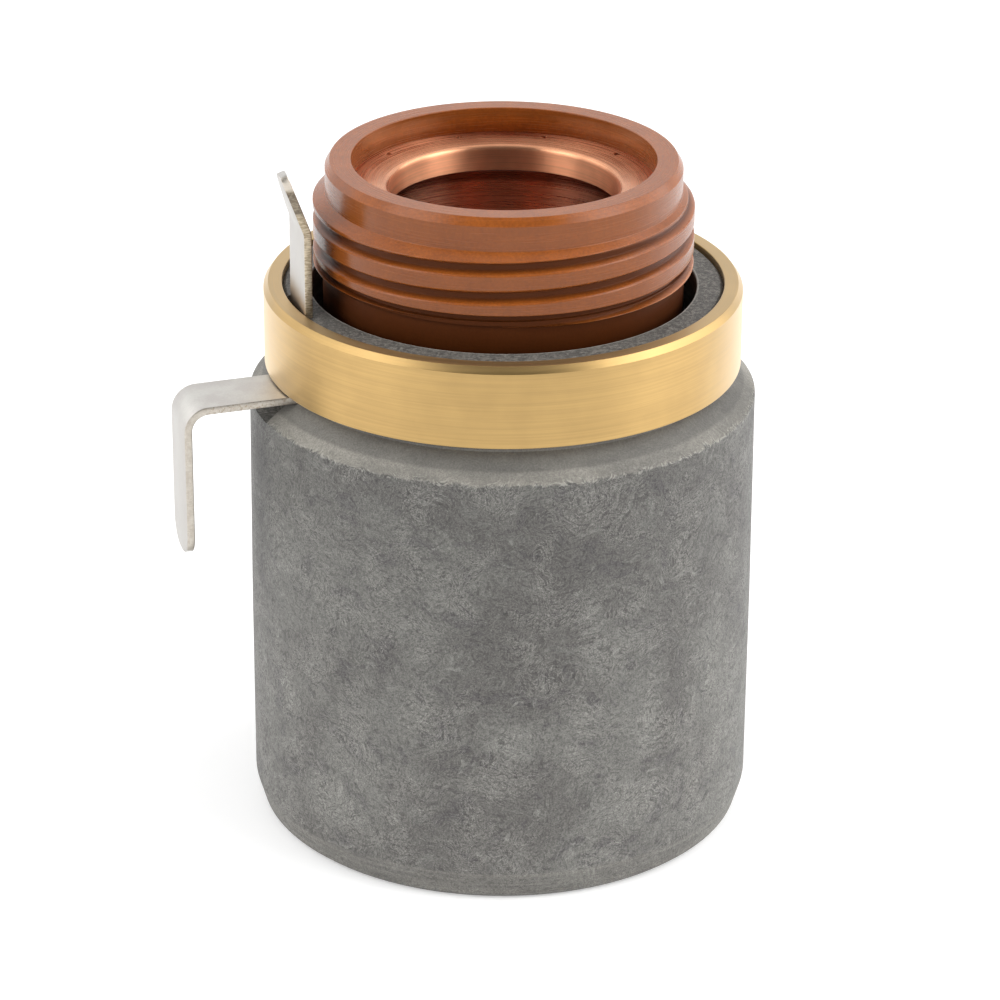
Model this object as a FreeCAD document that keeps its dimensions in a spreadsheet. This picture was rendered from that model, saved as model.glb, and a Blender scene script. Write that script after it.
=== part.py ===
import FreeCAD, Part
import Sketcher
import os

# Retaining cap for the front of a plasma cutting torch.
# Millimetres, +Z towards the nozzle end, origin on the axis in the plane of the rear rim.
# The folded contact strip points along -X.

os.makedirs("parts", exist_ok=True)
doc = FreeCAD.newDocument("retaining_cap")

# Driving dimensions: plain numbers, one cell each.
DRIVING_SIZES = {
    # outer shell, outside
    "shell_radius": "17.62",
    "shoulder_draft": "0.12",
    "shoulder_height": "31.27",
    "barrel_share": "0.5",
    "bevel_slope": "0.85",
    "rear_taper_height": "2.2",
    "rear_taper_inset": "0.54",
    "rear_taper_blend": "3.0",
    "rim_edge_height": "0.4",
    "rim_edge_inset": "0.46",
    "rim_edge_blend": "0.35",
    # outer shell, inside
    "barrel_wall": "3.72",
    "rear_socket_step": "1.1",
    "rear_socket_depth": "3.5",
    "web_drop": "0.27",
    "web_thickness": "3.5",
    # contact ring and the neck that it sits on
    "ring_inset": "1.174",
    "neck_wall": "1.9",
    "neck_chamfer": "0.29",
    "ring_wall": "1.286",
    "ring_width": "5.71",
    "ring_seat_rise": "2.22",
    "ring_proud": "0.25",
    "ring_chamfer_width": "0.33",
    "ring_chamfer_height": "0.44",
    "ring_lead_in": "0.2",
    "ring_land_width": "0.4",
    # nose insulator
    "insulator_gap": "0.885",
    "insulator_wall": "1.475",
    "collar_rise": "1.49",
    "collar_width": "0.36",
    "collar_undercut": "0.24",
    "collar_step": "0.625",
    "relief_width": "0.65",
    "relief_slope": "0.1",
    "relief_depth": "0.65",
    "threaded_length": "3.65",
    "lead_in_height": "0.51",
    "spigot_step": "0.837",
    "spigot_height": "2.28",
    "nose_chamfer_width": "0.343",
    "nose_chamfer_height": "0.55",
    "thread_pitch": "2.0",
    "thread_groove_width": "0.95",
    "thread_depth": "0.47",
    "thread_flank_rise": "0.27",
    "thread_run_in": "1.04",
    "thread_turns": "3.5",
    # nozzle seat
    "lip_height": "1.77",
    "nose_wall": "0.53",
    "seat_face_width": "2.56",
    "seat_face_dish": "0.17",
    "seat_bore_blend": "0.35",
    "land_depth": "1.92",
    "undercut_height": "0.8",
    "cavity_step": "1.0",
    "cavity_foot_rise": "2.0",
    "thread_wall": "2.5",
    "thread_core_top_rise": "0.5",
    "thread_core_foot_height": "9.5",
    "socket_lead_step": "0.8",
    "sleeve_recess": "0.5",
    "gas_hole_radius": "0.225",
    "gas_hole_inset": "0.57",
    "gas_hole_count": "10",
    "gas_hole_angle": "20.94",
    "drill_run_out": "0.5",
    # contact strip
    "strip_width": "4.4",
    "strip_thickness": "0.55",
    "strip_offset": "1.2",
    "strip_tuck": "0.41",
    "run_reach": "8.43",
    "run_drop": "0.2",
    "run_clearance": "0.1",
    "leg_length": "11.29",
    "upright_length": "11.46",
    "flap_length": "4.52",
    "flap_lean": "20.4",
    "bend_inside_radius": "1.2",
    "root_bend_radius": "0.3",
    "leg_corner_radius": "1.8",
    "flap_corner_radius": "1.3",
    # notches for the strip
    "strip_clearance": "0.05",
    "slot_half_width": "2.45",
    "slot_sink": "0.07",
}

# Sizes that follow from the driving ones.
DERIVED_SIZES = {
    # outer shell
    "shoulder_radius": "=shell_radius - shoulder_draft",
    "barrel_height": "=shoulder_height * barrel_share",
    "rear_taper_radius": "=shell_radius - rear_taper_inset",
    "rim_radius": "=rear_taper_radius - rim_edge_inset",
    "sleeve_radius": "=shell_radius - barrel_wall",
    "rear_socket_radius": "=sleeve_radius + rear_socket_step",
    "web_bottom_height": "=shoulder_height - web_drop",
    "web_top_height": "=web_bottom_height + web_thickness",
    # contact ring and the neck that it sits on
    "ring_radius": "=shell_radius - ring_inset",
    "ring_bore_radius": "=ring_radius - ring_wall",
    "gap_radius": "=ring_bore_radius - neck_wall",
    "ring_seat_height": "=shoulder_height + ring_seat_rise",
    "ring_top_height": "=ring_seat_height + ring_width",
    "ring_land_radius": "=ring_bore_radius + ring_land_width",
    "bevel_top_height": "=shoulder_height + bevel_slope * (shoulder_radius - ring_land_radius)",
    "ring_lead_radius": "=ring_bore_radius + ring_lead_in",
    "ring_lead_height": "=ring_seat_height + ring_lead_in",
    "ring_edge_height": "=ring_top_height - ring_chamfer_height",
    "ring_face_radius": "=ring_radius - ring_chamfer_width",
    "neck_height": "=ring_top_height - ring_proud",
    "neck_chamfer_height": "=neck_height - neck_chamfer",
    "neck_face_radius": "=ring_bore_radius - neck_chamfer",
    # nose insulator
    "insulator_neck_radius": "=gap_radius - insulator_gap",
    "collar_bottom_height": "=neck_height + collar_rise",
    "collar_top_height": "=collar_bottom_height + collar_width",
    "collar_root_height": "=collar_bottom_height + collar_undercut",
    "crest_radius": "=insulator_neck_radius + collar_step",
    "relief_radius": "=crest_radius - relief_depth",
    "relief_top_height": "=collar_top_height + relief_width",
    "relief_foot_height": "=collar_top_height + relief_slope",
    "relief_crown_height": "=relief_top_height - relief_slope",
    "crest_top_height": "=relief_top_height + threaded_length",
    "spigot_radius": "=crest_radius - spigot_step",
    "spigot_foot_height": "=crest_top_height + lead_in_height",
    "nose_top_height": "=spigot_foot_height + spigot_height",
    "nose_edge_height": "=nose_top_height - nose_chamfer_height",
    "nose_face_radius": "=spigot_radius - nose_chamfer_width",
    "nose_radius": "=insulator_neck_radius - insulator_wall",
    "lip_radius": "=nose_radius - nose_wall",
    "thread_start_height": "=collar_bottom_height - thread_run_in",
    "groove_root_radius": "=crest_radius - thread_depth",
    "groove_outer_radius": "=crest_radius + thread_depth / 4",
    "groove_outer_rise": "=thread_flank_rise / 4",
    "groove_low_outer": "=thread_start_height - thread_groove_width / 2 - groove_outer_rise",
    "groove_low_root": "=thread_start_height - thread_groove_width / 2 + thread_flank_rise",
    "groove_high_root": "=thread_start_height + thread_groove_width / 2 - thread_flank_rise",
    "groove_high_outer": "=thread_start_height + thread_groove_width / 2 + groove_outer_rise",
    # nozzle seat
    "seat_bore_radius": "=lip_radius - seat_face_width",
    "seat_face_height": "=nose_top_height - lip_height",
    "seat_edge_height": "=seat_face_height - seat_face_dish",
    "land_bottom_height": "=seat_face_height - land_depth",
    "cavity_top_height": "=land_bottom_height - undercut_height",
    "cavity_radius": "=nose_radius - cavity_step",
    "cavity_foot_height": "=web_bottom_height + cavity_foot_rise",
    "thread_core_top_height": "=web_bottom_height + thread_core_top_rise",
    "thread_core_radius": "=sleeve_radius - thread_wall",
    "socket_lead_radius": "=thread_core_radius + socket_lead_step",
    "socket_lead_height": "=thread_core_foot_height - socket_lead_step",
    "sleeve_foot_height": "=rear_socket_depth + sleeve_recess",
    "gas_hole_circle_radius": "=lip_radius - gas_hole_inset",
    "gas_hole_depth": "=seat_face_height - cavity_top_height + 2 * drill_run_out",
    "gas_drill_height": "=seat_face_height + drill_run_out",
    # contact strip
    "upright_reach": "=ring_bore_radius - strip_tuck",
    "upright_back": "=upright_reach - strip_thickness",
    "leg_reach": "=upright_reach + run_reach",
    "leg_back": "=leg_reach - strip_thickness",
    "run_top_height": "=ring_seat_height - run_clearance",
    "run_bottom_height": "=run_top_height - strip_thickness",
    "run_outer_top_height": "=run_top_height - run_drop",
    "run_outer_bottom_height": "=run_bottom_height - run_drop",
    "leg_foot_height": "=run_top_height - leg_length",
    "flap_bend_height": "=run_top_height + upright_length",
    "flap_tip_reach": "=upright_reach + flap_length * sin(flap_lean)",
    "flap_tip_height": "=flap_bend_height + flap_length * cos(flap_lean)",
    "flap_tip_back": "=flap_tip_reach - strip_thickness * cos(flap_lean)",
    "flap_tip_back_height": "=flap_tip_height + strip_thickness * sin(flap_lean)",
    "flap_bend_back_height": "=flap_bend_height + strip_thickness * tan(flap_lean / 2)",
    "bend_outside_radius": "=bend_inside_radius + strip_thickness",
    "root_bend_outside_radius": "=root_bend_radius + strip_thickness",
    # notches for the strip
    "notch_back": "=upright_back - strip_clearance",
    "notch_reach": "=shell_radius + strip_width",
    "notch_floor_height": "=run_bottom_height - strip_clearance",
    "notch_near_side": "=strip_offset + strip_width / 2 + strip_clearance",
    "notch_far_side": "=strip_width / 2 - strip_offset + strip_clearance",
    "notch_depth": "=neck_height - notch_floor_height + drill_run_out",
    "slot_floor_height": "=shoulder_height - slot_sink",
    "slot_depth": "=ring_seat_height - slot_floor_height",
}

sheet = doc.addObject("Spreadsheet::Sheet", "sizes")
for row, (alias, text) in enumerate(list(DRIVING_SIZES.items()) + list(DERIVED_SIZES.items()), start=1):
    cell = "B%d" % row
    sheet.set("A%d" % row, alias)
    sheet.set(cell, text)
    sheet.setAlias(cell, alias)
doc.recompute()

TOLERANCE = 1e-4


def size(alias):
    """Value of one cell; a leading minus gives its negative."""
    if alias.startswith("-"):
        return -float(sheet.get(alias[1:]))
    return float(sheet.get(alias))


def new_body(label):
    body = doc.addObject("PartDesign::Body", label + "_body")
    body.Label = label
    return body


def origin_plane(body, role):
    return next(item for item in body.Origin.OriginFeatures if item.Role == role)


def new_sketch(body, name, role, height=None):
    """Sketch on an origin plane of its own body, raised along Z by the cell named in height."""
    sketch = body.newObject("Sketcher::SketchObject", name)
    sketch.AttachmentSupport = [(origin_plane(body, role), "")]
    sketch.MapMode = "FlatFace"
    if height:
        sketch.setExpression("AttachmentOffset.Base.z", "sizes." + height)
    return sketch


def tie(sketch, kind, point, alias):
    """Hold one coordinate of a sketch point at the value of a cell."""
    line, end = point
    if alias.startswith("-"):
        index = sketch.addConstraint(Sketcher.Constraint(kind, line, end, -1, 1, size(alias[1:])))
        sketch.setExpression("Constraints[%d]" % index, "sizes." + alias[1:])
    else:
        index = sketch.addConstraint(Sketcher.Constraint(kind, -1, 1, line, end, size(alias)))
        sketch.setExpression("Constraints[%d]" % index, "sizes." + alias)


def draw_outline(sketch, corners):
    """Closed outline of straight lines; each corner is a pair of cells, None is the sketch's axis."""
    points = []
    for across, along in corners:
        points.append(FreeCAD.Vector(size(across), size(along) if along else 0.0, 0.0))
    count = len(points)
    for i in range(count):
        sketch.addGeometry(Part.LineSegment(points[i], points[(i + 1) % count]), False)
    for i in range(count):
        sketch.addConstraint(Sketcher.Constraint("Coincident", i, 2, (i + 1) % count, 1))
    for i, (across, along) in enumerate(corners):
        tie(sketch, "DistanceX", (i, 1), across)
        if along:
            tie(sketch, "DistanceY", (i, 1), along)
        else:
            sketch.addConstraint(Sketcher.Constraint("PointOnObject", i, 1, -1))


def turn(body, corners):
    """Solid of revolution about Z from an outline of radius and height cells."""
    sketch = new_sketch(body, body.Label + "_outline", "XZ_Plane")
    draw_outline(sketch, corners)
    turned = body.newObject("PartDesign::Revolution", body.Label + "_turned")
    turned.Profile = sketch
    turned.ReferenceAxis = (sketch, ["V_Axis"])
    turned.Angle = 360.0
    doc.recompute()
    return turned


def circles_at(shape, radius, height):
    """Names of the circular edges about Z with this radius and height."""
    names = []
    for i, edge in enumerate(shape.Edges, start=1):
        curve = edge.Curve
        if not isinstance(curve, Part.Circle):
            continue
        if abs(curve.Radius - radius) < TOLERANCE and abs(curve.Center.z - height) < TOLERANCE:
            names.append("Edge%d" % i)
    return names


def lines_at(shape, direction, matches):
    """Names of the straight edges along a direction whose middle point satisfies a test."""
    names = []
    for i, edge in enumerate(shape.Edges, start=1):
        if not isinstance(edge.Curve, Part.Line):
            continue
        along = edge.Curve.Direction
        if abs(abs(along.dot(direction)) - 1.0) < TOLERANCE and matches(edge.CenterOfMass):
            names.append("Edge%d" % i)
    return names


def blend(body, base, edges, radius_cell, name):
    if not edges:
        raise RuntimeError("no edge found for " + name)
    rounded = body.newObject("PartDesign::Fillet", name)
    rounded.Base = (base, edges)
    rounded.setExpression("Radius", "sizes." + radius_cell)
    doc.recompute()
    return rounded


def cut_upwards(body, name, corners, floor, depth):
    """Pocket that goes up from a floor height, with a straight-sided outline."""
    before = body.Shape.Volume
    sketch = new_sketch(body, name + "_outline", "XY_Plane", floor)
    draw_outline(sketch, corners)
    pocket = body.newObject("PartDesign::Pocket", name)
    pocket.Profile = sketch
    pocket.Reversed = True
    pocket.setExpression("Length", "sizes." + depth)
    doc.recompute()
    if not body.Shape.Volume < before - TOLERANCE:
        raise RuntimeError(name + " cuts nothing")
    return pocket


def make_outer_shell():
    """Moulded shell: barrel, bevelled shoulder, neck that carries the ring, and stepped bore."""
    body = new_body("outer_shell")
    turned = turn(body, [
        ("rear_socket_radius", None),
        ("rim_radius", None),
        ("rear_taper_radius", "rim_edge_height"),
        ("shell_radius", "rear_taper_height"),
        ("shell_radius", "barrel_height"),
        ("shoulder_radius", "shoulder_height"),
        ("ring_land_radius", "bevel_top_height"),
        ("ring_land_radius", "ring_seat_height"),
        ("ring_bore_radius", "ring_seat_height"),
        ("ring_bore_radius", "neck_chamfer_height"),
        ("neck_face_radius", "neck_height"),
        ("gap_radius", "neck_height"),
        ("gap_radius", "web_top_height"),
        ("insulator_neck_radius", "web_top_height"),
        ("insulator_neck_radius", "web_bottom_height"),
        ("sleeve_radius", "web_bottom_height"),
        ("sleeve_radius", "rear_socket_depth"),
        ("rear_socket_radius", "rear_socket_depth"),
    ])
    taper = circles_at(turned.Shape, size("shell_radius"), size("rear_taper_height"))
    tapered = blend(body, turned, taper, "rear_taper_blend", "rear_taper_round")
    rim = circles_at(tapered.Shape, size("rear_taper_radius"), size("rim_edge_height"))
    blend(body, tapered, rim, "rim_edge_blend", "rim_edge_round")
    # slot under the strip through the bevelled shoulder
    cut_upwards(body, "shoulder_slot", [
        ("-notch_reach", "-slot_half_width"),
        ("-notch_back", "-slot_half_width"),
        ("-notch_back", "slot_half_width"),
        ("-notch_reach", "slot_half_width"),
    ], "slot_floor_height", "slot_depth")
    # notch for the strip's own width, open at the top of the neck
    cut_upwards(body, "strip_notch", [
        ("-notch_reach", "-notch_near_side"),
        ("-notch_back", "-notch_near_side"),
        ("-notch_back", "notch_far_side"),
        ("-notch_reach", "notch_far_side"),
    ], "notch_floor_height", "notch_depth")
    return body


def make_contact_ring():
    """Turned ring pressed on the neck of the shell."""
    body = new_body("contact_ring")
    turn(body, [
        ("ring_bore_radius", "ring_lead_height"),
        ("ring_lead_radius", "ring_seat_height"),
        ("ring_radius", "ring_seat_height"),
        ("ring_radius", "ring_edge_height"),
        ("ring_face_radius", "ring_top_height"),
        ("ring_bore_radius", "ring_top_height"),
    ])
    return body


def make_nose_insulator():
    """Turned insulating nose: spigot, right-hand shield thread, relief, collar and neck."""
    body = new_body("nose_insulator")
    turned = turn(body, [
        ("nose_radius", "web_top_height"),
        ("insulator_neck_radius", "web_top_height"),
        ("insulator_neck_radius", "collar_root_height"),
        ("crest_radius", "collar_bottom_height"),
        ("crest_radius", "collar_top_height"),
        ("relief_radius", "relief_foot_height"),
        ("relief_radius", "relief_crown_height"),
        ("crest_radius", "relief_top_height"),
        ("crest_radius", "crest_top_height"),
        ("spigot_radius", "spigot_foot_height"),
        ("spigot_radius", "nose_edge_height"),
        ("nose_face_radius", "nose_top_height"),
        ("lip_radius", "nose_top_height"),
        ("lip_radius", "seat_face_height"),
        ("nose_radius", "seat_face_height"),
    ])
    sketch = new_sketch(body, "thread_groove_section", "XZ_Plane")
    draw_outline(sketch, [
        ("groove_outer_radius", "groove_low_outer"),
        ("groove_outer_radius", "groove_high_outer"),
        ("groove_root_radius", "groove_high_root"),
        ("groove_root_radius", "groove_low_root"),
    ])
    groove = body.newObject("PartDesign::SubtractiveHelix", "thread_groove")
    groove.Profile = sketch
    groove.ReferenceAxis = (sketch, ["V_Axis"])
    groove.Mode = 1
    groove.setExpression("Pitch", "sizes.thread_pitch")
    groove.setExpression("Turns", "sizes.thread_turns")
    groove.LeftHanded = False
    groove.Reversed = False
    doc.recompute()
    if not body.Shape.Volume < turned.Shape.Volume - TOLERANCE:
        raise RuntimeError("the thread groove cuts nothing")
    return body


def make_nozzle_seat():
    """Turned copper seat: nose with the nozzle's land, gas holes, cavity and rear sleeve."""
    body = new_body("nozzle_seat")
    turned = turn(body, [
        ("socket_lead_radius", "sleeve_foot_height"),
        ("sleeve_radius", "sleeve_foot_height"),
        ("sleeve_radius", "web_bottom_height"),
        ("insulator_neck_radius", "web_bottom_height"),
        ("insulator_neck_radius", "web_top_height"),
        ("nose_radius", "web_top_height"),
        ("nose_radius", "seat_face_height"),
        ("lip_radius", "seat_face_height"),
        ("seat_bore_radius", "seat_edge_height"),
        ("seat_bore_radius", "land_bottom_height"),
        ("cavity_radius", "cavity_top_height"),
        ("cavity_radius", "cavity_foot_height"),
        ("thread_core_radius", "thread_core_top_height"),
        ("thread_core_radius", "thread_core_foot_height"),
        ("socket_lead_radius", "socket_lead_height"),
    ])
    bore_edge = circles_at(turned.Shape, size("seat_bore_radius"), size("seat_edge_height"))
    blend(body, turned, bore_edge, "seat_bore_blend", "bore_edge_round")
    before = body.Shape.Volume
    sketch = new_sketch(body, "gas_hole_outline", "XY_Plane", "gas_drill_height")
    # hole centre at the end of a construction line from the axis
    sketch.addGeometry(Part.LineSegment(FreeCAD.Vector(0, 0, 0), FreeCAD.Vector(9, 3, 0)), True)
    sketch.addGeometry(Part.Circle(FreeCAD.Vector(9, 3, 0), FreeCAD.Vector(0, 0, 1), 0.2), False)
    sketch.addConstraint(Sketcher.Constraint("Coincident", 0, 1, -1, 1))
    sketch.addConstraint(Sketcher.Constraint("Coincident", 1, 3, 0, 2))
    reach = sketch.addConstraint(Sketcher.Constraint("Distance", 0, 1, 0, 2, size("gas_hole_circle_radius")))
    sketch.setExpression("Constraints[%d]" % reach, "sizes.gas_hole_circle_radius")
    start = FreeCAD.Units.Quantity("%s deg" % size("gas_hole_angle"))
    angle = sketch.addConstraint(Sketcher.Constraint("Angle", -1, 1, 0, 1, start))
    sketch.setExpression("Constraints[%d]" % angle, "sizes.gas_hole_angle * 1 deg")
    radius = sketch.addConstraint(Sketcher.Constraint("Radius", 1, size("gas_hole_radius")))
    sketch.setExpression("Constraints[%d]" % radius, "sizes.gas_hole_radius")
    hole = body.newObject("PartDesign::Pocket", "gas_hole")
    hole.Profile = sketch
    hole.setExpression("Length", "sizes.gas_hole_depth")
    doc.recompute()
    pattern = body.newObject("PartDesign::PolarPattern", "gas_holes")
    pattern.Originals = [hole]
    pattern.Axis = (sketch, ["N_Axis"])
    pattern.Angle = 360.0
    pattern.setExpression("Occurrences", "sizes.gas_hole_count")
    body.Tip = pattern
    doc.recompute()
    one_hole = 3.14159 * size("gas_hole_radius") ** 2 * (size("seat_face_height") - size("cavity_top_height"))
    if before - body.Shape.Volume < 0.8 * one_hole * size("gas_hole_count"):
        raise RuntimeError("the gas holes are not all there")
    return body


def make_contact_strip():
    """Folded sheet strip: leg outside, run under the ring, upright through the neck, leaning flap."""
    body = new_body("contact_strip")
    sketch = new_sketch(body, "strip_side_outline", "XZ_Plane")
    draw_outline(sketch, [
        ("leg_reach", "leg_foot_height"),
        ("leg_reach", "run_outer_top_height"),
        ("upright_reach", "run_top_height"),
        ("upright_reach", "flap_bend_height"),
        ("flap_tip_reach", "flap_tip_height"),
        ("flap_tip_back", "flap_tip_back_height"),
        ("upright_back", "flap_bend_back_height"),
        ("upright_back", "run_bottom_height"),
        ("leg_back", "run_outer_bottom_height"),
        ("leg_back", "leg_foot_height"),
    ])
    strip = body.newObject("PartDesign::Pad", "strip_pad")
    strip.Profile = sketch
    strip.Midplane = True
    strip.setExpression("Length", "sizes.strip_width")
    doc.recompute()

    across = FreeCAD.Vector(0, 1, 0)

    def fold_edges(shape, folds):
        def on_fold(point):
            return any(abs(point.x - size(u)) < TOLERANCE and abs(point.z - size(z)) < TOLERANCE
                       for u, z in folds)
        return lines_at(shape, across, on_fold)

    inside = fold_edges(strip.Shape, [("leg_back", "run_outer_bottom_height"),
                                      ("upright_reach", "flap_bend_height")])
    folded = blend(body, strip, inside, "bend_inside_radius", "bends_inside")
    outside = fold_edges(folded.Shape, [("leg_reach", "run_outer_top_height"),
                                        ("upright_back", "flap_bend_back_height")])
    folded = blend(body, folded, outside, "bend_outside_radius", "bends_outside")
    # the bend at the foot of the upright is tight, to pass under the ring
    root = fold_edges(folded.Shape, [("upright_reach", "run_top_height")])
    folded = blend(body, folded, root, "root_bend_radius", "root_bend_inside")
    root = fold_edges(folded.Shape, [("upright_back", "run_bottom_height")])
    folded = blend(body, folded, root, "root_bend_outside_radius", "root_bend_outside")

    leg_corners = lines_at(folded.Shape, FreeCAD.Vector(1, 0, 0),
                           lambda point: abs(point.z - size("leg_foot_height")) < TOLERANCE)
    folded = blend(body, folded, leg_corners, "leg_corner_radius", "leg_end_round")
    tip = FreeCAD.Vector(size("flap_tip_back") - size("flap_tip_reach"), 0,
                         size("flap_tip_back_height") - size("flap_tip_height")).normalize()
    tip_corners = lines_at(folded.Shape, tip, lambda point: point.z > size("flap_bend_back_height"))
    blend(body, folded, tip_corners, "flap_corner_radius", "flap_end_round")

    body.Placement = FreeCAD.Placement(FreeCAD.Vector(0, 0, 0), FreeCAD.Rotation(FreeCAD.Vector(0, 0, 1), 180))
    body.setExpression("Placement.Base.y", "-sizes.strip_offset")
    doc.recompute()
    return body


pieces = [
    make_outer_shell(),
    make_contact_ring(),
    make_nose_insulator(),
    make_nozzle_seat(),
    make_contact_strip(),
]
doc.recompute()

for item in doc.Objects:
    if "Invalid" in item.State or "Error" in item.State:
        raise RuntimeError("%s failed: %s" % (item.Name, item.State))
for piece in pieces:
    shape = piece.Shape
    if shape.isNull() or not shape.isValid() or len(shape.Solids) != 1:
        raise RuntimeError("%s is not one valid solid" % piece.Label)
for piece in pieces:
    piece.Shape.exportStep(os.path.join("parts", piece.Label + ".step"))
    box = piece.Shape.BoundBox
    print("%-16s volume %9.2f  x %.2f..%.2f  y %.2f..%.2f  z %.2f..%.2f" % (
        piece.Label, piece.Shape.Volume, box.XMin, box.XMax, box.YMin, box.YMax, box.ZMin, box.ZMax))
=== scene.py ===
import math

import bpy
import numpy as np
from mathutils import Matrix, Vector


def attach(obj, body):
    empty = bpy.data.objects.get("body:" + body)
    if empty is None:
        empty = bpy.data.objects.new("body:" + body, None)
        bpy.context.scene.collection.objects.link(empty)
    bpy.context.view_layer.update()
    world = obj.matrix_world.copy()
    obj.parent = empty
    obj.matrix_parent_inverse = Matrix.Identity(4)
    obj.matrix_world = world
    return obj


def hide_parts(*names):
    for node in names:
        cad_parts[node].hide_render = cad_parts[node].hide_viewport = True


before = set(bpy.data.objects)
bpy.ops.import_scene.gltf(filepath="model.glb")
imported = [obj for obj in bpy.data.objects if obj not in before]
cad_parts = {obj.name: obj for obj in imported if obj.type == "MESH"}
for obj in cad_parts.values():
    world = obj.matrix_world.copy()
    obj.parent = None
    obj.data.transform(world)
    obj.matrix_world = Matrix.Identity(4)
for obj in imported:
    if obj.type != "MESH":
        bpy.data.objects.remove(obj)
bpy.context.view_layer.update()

# Lengths are in millimetres in this script and become metres where a mesh is made.
MM = 0.001
SEGMENTS = 384

# outer shell
SHELL_RADIUS = 17.61
SHOULDER_RADIUS = 17.5
SHOULDER_HEIGHT = 31.27
BEVEL_SLOPE = 0.85
SLEEVE_RADIUS = 13.9
GAP_RADIUS = 13.26
GAP_FLOOR = 34.5
WEB_BOTTOM = 31.0
MOUTH_RADIUS = 15.0
MOUTH_DEPTH = 3.5
NECK_HEIGHT = 38.95
NECK_CHAMFER = 0.29
FOOT_TOP = 2.2
# contact ring
RING_BORE = 15.16
RING_RADIUS = 16.446
RING_SEAT = 33.49
RING_TOP = 39.2
# nose insulator
NECK_RADIUS = 12.375
CREST_RADIUS = 13.0
SPIGOT_RADIUS = 12.163
NOSE_TOP = 47.89
LIP_RADIUS = 10.37
NOSE_RADIUS = 10.9
COLLAR_TOP = 40.8
RELIEF_RADIUS = 12.35
RELIEF_TOP = 41.35
CREST_TOP = 45.1
SPIGOT_FOOT = 45.61
THREAD_PITCH = 2.0
THREAD_DEPTH = 0.47
GROOVE_WIDTH = 0.95
FLANK_SLOPE = 1.74
# height of the groove's middle at azimuth zero
THREAD_PHASE = 43.3
# nozzle seat
SEAT_FACE = 46.12
SEAT_EDGE = 45.95
SEAT_BORE = 7.81
LAND_BOTTOM = 44.2
CAVITY_RADIUS = 9.9
CAVITY_TOP = 43.4
CAVITY_FLOOR = 33.0
SLEEVE_FOOT = 4.02
LEAD_IN_RADIUS = 12.2
LEAD_IN_TOP = 8.7
# small gap between the seat and what it sits in
FIT_GAP = 0.02
CORE_RADIUS = 11.4
SOCKET_TURN_STEP = 0.25
SOCKET_PITCH = 1.5
SOCKET_DEPTH = 0.7
SOCKET_FOOT = 9.5
SOCKET_TOP = 31.5
GAS_HOLES = 10
GAS_HOLE_CIRCLE = 9.8
GAS_HOLE_RADIUS = 0.225
GAS_HOLE_START = math.radians(20.94)
# contact strip
STRIP_BACK = 1.0
STRIP_FRONT = 3.4
STRIP_THICKNESS = 0.55
LEG_REACH = 23.18
LEG_END = 22.1
LEG_CORNER = 1.75
RUN_TOP_AT_LEG = 33.19
RUN_TOP_AT_NECK = 33.39
UPRIGHT_REACH = 14.75
OUTER_BEND = 1.475
INNER_BEND = 0.58
FLAP_BEND = 44.87
FLAP_LENGTH = 4.55
FLAP_LEAN = math.radians(20.4)
FLAP_TIP_CORNER = 0.5
SLOT_HALF_WIDTH = 2.45
SLOT_FLOOR = 31.2
SLOT_OUTER = 19.0
SLOT_INNER = 14.15
NOTCH_FLOOR = 32.79
NOTCH_GAP = 0.05
# camera, fitted to the photograph's rims and strip
CAMERA_PITCH = math.radians(24.402)
CAMERA_YAW = math.radians(15.99)
CAMERA_ROLL = math.radians(0.405)
CAMERA_PLACE = (-69.62, -242.53, 136.87)
CAMERA_LENS = 141.81


def rounded_outline(corners, steps=5):
    """Closed outline from (radius, height, rounding) corners, with an arc in place of each rounded corner."""
    points = []
    count = len(corners)
    for i, (across, along, rounding) in enumerate(corners):
        corner = np.array((across, along), float)
        before = np.array(corners[i - 1][:2], float) - corner
        after = np.array(corners[(i + 1) % count][:2], float) - corner
        reach_before, reach_after = np.linalg.norm(before), np.linalg.norm(after)
        before, after = before / reach_before, after / reach_after
        half = 0.5 * math.acos(float(np.clip(before @ after, -1.0, 1.0)))
        if rounding <= 0 or half > 1.569:
            points.append(corner)
            continue
        cut = min(rounding / math.tan(half), 0.4 * reach_before, 0.4 * reach_after)
        radius = cut * math.tan(half)
        middle = (before + after) / np.linalg.norm(before + after)
        centre = corner + middle * radius / math.sin(half)
        start, end = corner + before * cut - centre, corner + after * cut - centre
        first = math.atan2(start[1], start[0])
        turn = (math.atan2(end[1], end[0]) - first + math.pi) % (2 * math.pi) - math.pi
        support = min(0.3 * cut, 0.05)
        points.append(corner + before * (cut + support))
        for k in range(steps + 1):
            angle = first + turn * k / steps
            points.append(centre + radius * np.array((math.cos(angle), math.sin(angle))))
        points.append(corner + after * (cut + support))
    return np.array(points)


def link_mesh(name, points, faces):
    """Object from points in millimetres; every face is shaded smooth."""
    mesh = bpy.data.meshes.new(name)
    mesh.from_pydata((np.asarray(points) * MM).tolist(), [], faces)
    mesh.validate()
    mesh.polygons.foreach_set("use_smooth", [True] * len(mesh.polygons))
    mesh.update()
    obj = bpy.data.objects.new(name, mesh)
    bpy.context.scene.collection.objects.link(obj)
    return obj


def grid_faces(columns, rows):
    """Quads of a grid that closes on itself both ways; point number is column * rows + row."""
    column, row = np.meshgrid(np.arange(columns), np.arange(rows), indexing="ij")
    next_column, next_row = (column + 1) % columns, (row + 1) % rows
    corners = [column * rows + row, next_column * rows + row,
               next_column * rows + next_row, column * rows + next_row]
    return np.stack(corners, axis=-1).reshape(-1, 4).tolist()


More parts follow.
